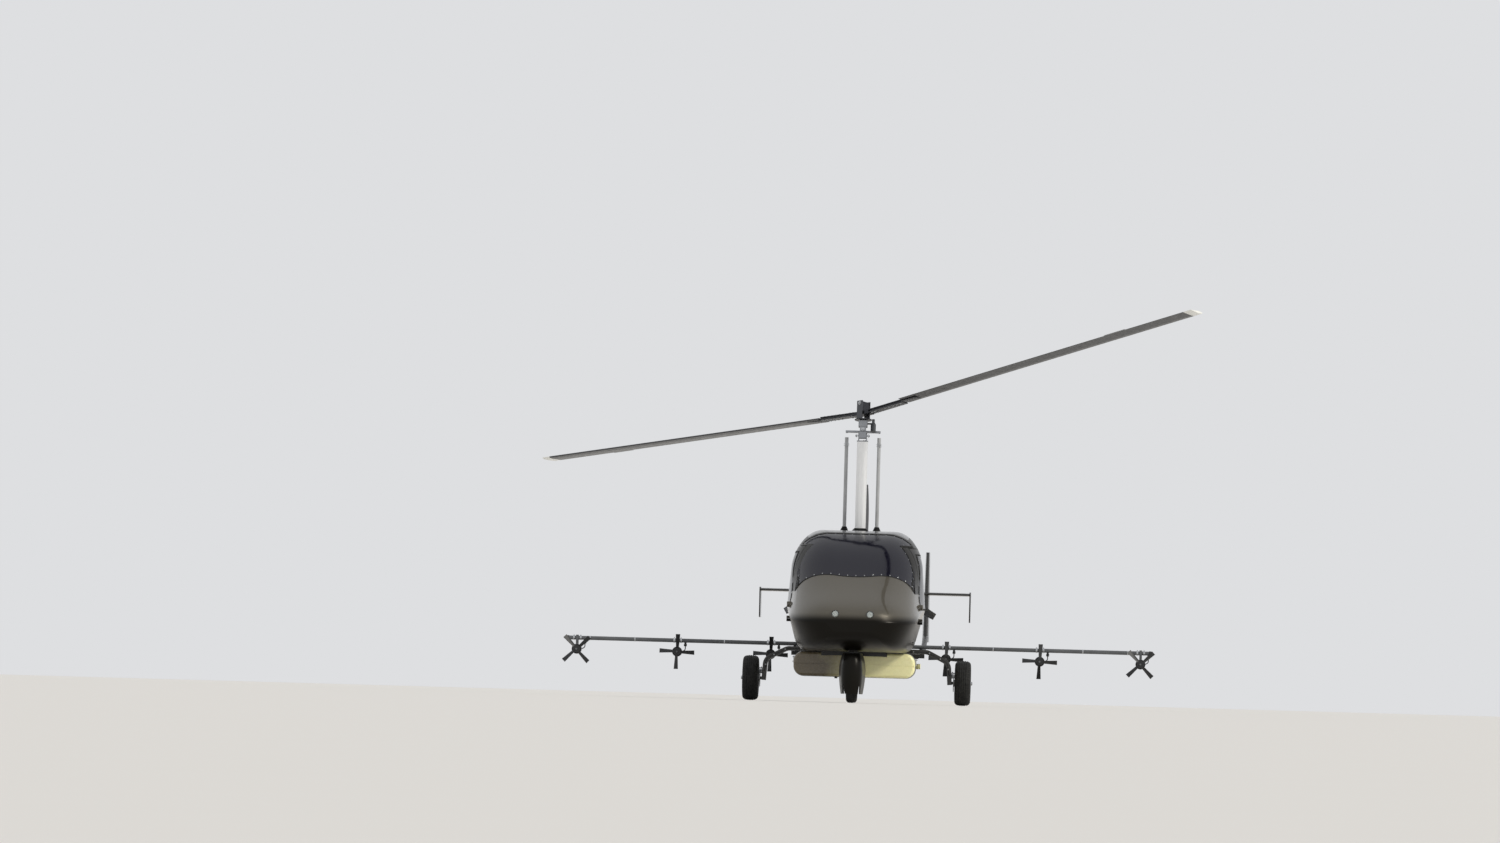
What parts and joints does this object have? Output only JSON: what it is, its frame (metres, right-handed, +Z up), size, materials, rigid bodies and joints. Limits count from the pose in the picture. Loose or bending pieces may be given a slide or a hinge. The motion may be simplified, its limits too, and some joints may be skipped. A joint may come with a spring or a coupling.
{
  "type": "two-seat gyroplane with spray gear",
  "caption": "Closed-cabin pusher gyroplane on three wheels, with teetering rotor, twin tail booms, belly tank and a spray boom with rotary atomisers.",
  "frame": {"origin": "on the ground, at the middle of the craft's overall plan box", "axes": "-Y towards the nose, +X towards the craft's own left side, +Z up"},
  "size_m": [6.6786, 5.7874, 3.9076],
  "materials": {
    "body_paint": "gloss",
    "tinted_glass": "gloss",
    "roof_paint": "gloss",
    "cabin_trim": "matte",
    "seat_cover": "woven",
    "lamp_glass": "gloss",
    "frame_paint": "satin",
    "engine_metal": "cast",
    "exhaust_steel": "heat-tinted",
    "mast_alloy": "satin",
    "head_alloy": "satin",
    "head_steel": "satin",
    "hub_alloy": "anodised",
    "rod_paint": "satin",
    "gear_composite": "satin",
    "gear_steel": "satin",
    "tank_plastic": "moulded",
    "strap_steel": "satin",
    "pump_metal": "satin",
    "boom_paint": "satin",
    "tail_paint": "gloss",
    "blade_finish": "satin",
    "tip_paint": "gloss",
    "propeller_carbon": "satin",
    "rim_alloy": "satin",
    "tyre_rubber": "matte",
    "atomiser_plastic": "satin"
  },
  "bodies": {
    "airframe": {"cabin_hull": "body_paint", "windscreen": "tinted_glass", "roof_panel": "roof_paint", "instrument_panel": "cabin_trim", "seats": "seat_cover", "control_stick": "cabin_trim", "landing_lamps": "lamp_glass", "keel_frame": "frame_paint", "engine_cowl": "body_paint", "engine": "engine_metal", "exhaust": "exhaust_steel", "mast": "mast_alloy", "mast_head_plates": "head_alloy", "push_rods": "rod_paint", "main_gear_bow": "gear_composite", "belly_tank": "tank_plastic", "tank_straps": "strap_steel", "spray_pump": "pump_metal", "spray_boom": "boom_paint", "atomiser_hangers": "boom_paint", "tail_booms": "frame_paint", "tailplane": "tail_paint", "fins": "tail_paint"},
    "door_left": {"door_left": "body_paint", "door_glass_left": "tinted_glass"},
    "door_right": {"door_right": "body_paint", "door_glass_right": "tinted_glass"},
    "gimbal": {"head_gimbal": "head_alloy"},
    "bearing": {"rotor_bearing": "head_alloy", "prerotator": "pump_metal"},
    "rotor_shaft": {"rotor_tower": "head_steel"},
    "rotor": {"hub_bar": "hub_alloy", "rotor_blades": "blade_finish", "blade_tips": "tip_paint"},
    "propeller": {"propeller": "propeller_carbon"},
    "nose_leg": {"nose_fork": "gear_steel", "nose_spat": "body_paint"},
    "nose_wheel": {"nose_rim": "rim_alloy", "nose_tyre": "tyre_rubber"},
    "main_wheel_left": {"main_rim_left": "rim_alloy", "main_tyre_left": "tyre_rubber"},
    "main_wheel_right": {"main_rim_right": "rim_alloy", "main_tyre_right": "tyre_rubber"},
    "rudder_left": {"rudder_left": "tail_paint"},
    "rudder_right": {"rudder_right": "tail_paint"},
    "atomiser_1": {"atomiser_1": "atomiser_plastic"},
    "atomiser_2": {"atomiser_2": "atomiser_plastic"},
    "atomiser_3": {"atomiser_3": "atomiser_plastic"},
    "atomiser_4": {"atomiser_4": "atomiser_plastic"},
    "atomiser_5": {"atomiser_5": "atomiser_plastic"},
    "atomiser_6": {"atomiser_6": "atomiser_plastic"}
  },
  "joints": [
    {"name": "head_pitch", "type": "hinge", "parent": "airframe", "child": "gimbal", "pos_m": [0, -0.265, 2.665], "axis": [-1, 0, 0], "range_deg": [-10, 6]},
    {"name": "head_roll", "type": "hinge", "parent": "gimbal", "child": "bearing", "pos_m": [0, -0.25423, 2.72606], "axis": [0, 0.9848, -0.1736], "range_deg": [-7, 7]},
    {"name": "rotor_spin", "type": "hinge", "parent": "bearing", "child": "rotor_shaft", "pos_m": [0, -0.20856, 2.98506], "axis": [0, 0.1736, 0.9848], "continuous": true},
    {"name": "rotor_teeter", "type": "hinge", "parent": "rotor_shaft", "child": "rotor", "pos_m": [0, -0.20856, 2.98506], "axis": [-0.6361, -0.7599, 0.134], "range_deg": [-9.6, 2.4]},
    {"name": "propeller_spin", "type": "hinge", "parent": "airframe", "child": "propeller", "pos_m": [0, 0.685, 1.33], "axis": [0, 1, 0], "continuous": true},
    {"name": "nose_steer", "type": "hinge", "parent": "airframe", "child": "nose_leg", "pos_m": [0, -1.78, 0.5], "axis": [0, 0, 1], "range_deg": [-25, 25]},
    {"name": "nose_wheel_spin", "type": "hinge", "parent": "nose_leg", "child": "nose_wheel", "pos_m": [0, -1.745, 0.19], "axis": [1, 0, 0], "continuous": true},
    {"name": "main_wheel_left_spin", "type": "hinge", "parent": "airframe", "child": "main_wheel_left", "pos_m": [1.06, 0.005, 0.225], "axis": [1, 0, 0], "continuous": true},
    {"name": "main_wheel_right_spin", "type": "hinge", "parent": "airframe", "child": "main_wheel_right", "pos_m": [-1.06, 0.005, 0.225], "axis": [1, 0, 0], "continuous": true},
    {"name": "rudder_left_turn", "type": "hinge", "parent": "airframe", "child": "rudder_left", "pos_m": [0.63, 2.693, 1.11], "axis": [0, 0, 1], "range_deg": [-25, 25]},
    {"name": "rudder_right_turn", "type": "hinge", "parent": "airframe", "child": "rudder_right", "pos_m": [-0.63, 2.693, 1.11], "axis": [0, 0, 1], "range_deg": [-25, 25]},
    {"name": "door_left_open", "type": "hinge", "parent": "airframe", "child": "door_left", "pos_m": [0.662, -1.44, 0.9], "axis": [0, 0, -1], "range_deg": [0, 70]},
    {"name": "door_right_open", "type": "hinge", "parent": "airframe", "child": "door_right", "pos_m": [-0.662, -1.44, 0.9], "axis": [0, 0, 1], "range_deg": [0, 70]},
    {"name": "atomiser_1_spin", "type": "hinge", "parent": "airframe", "child": "atomiser_1", "pos_m": [-2.83, 0.345, 0.4653], "axis": [0, 1, 0], "continuous": true},
    {"name": "atomiser_2_spin", "type": "hinge", "parent": "airframe", "child": "atomiser_2", "pos_m": [-1.82, 0.345, 0.4653], "axis": [0, 1, 0], "continuous": true},
    {"name": "atomiser_3_spin", "type": "hinge", "parent": "airframe", "child": "atomiser_3", "pos_m": [-0.88, 0.345, 0.4653], "axis": [0, 1, 0], "continuous": true},
    {"name": "atomiser_4_spin", "type": "hinge", "parent": "airframe", "child": "atomiser_4", "pos_m": [0.88, 0.345, 0.4653], "axis": [0, 1, 0], "continuous": true},
    {"name": "atomiser_5_spin", "type": "hinge", "parent": "airframe", "child": "atomiser_5", "pos_m": [1.82, 0.345, 0.4653], "axis": [0, 1, 0], "continuous": true},
    {"name": "atomiser_6_spin", "type": "hinge", "parent": "airframe", "child": "atomiser_6", "pos_m": [2.83, 0.345, 0.4653], "axis": [0, 1, 0], "continuous": true}
  ],
  "couplings": [
    {"joint": "rudder_right_turn", "follows": "rudder_left_turn", "ratio": 1}
  ]
}
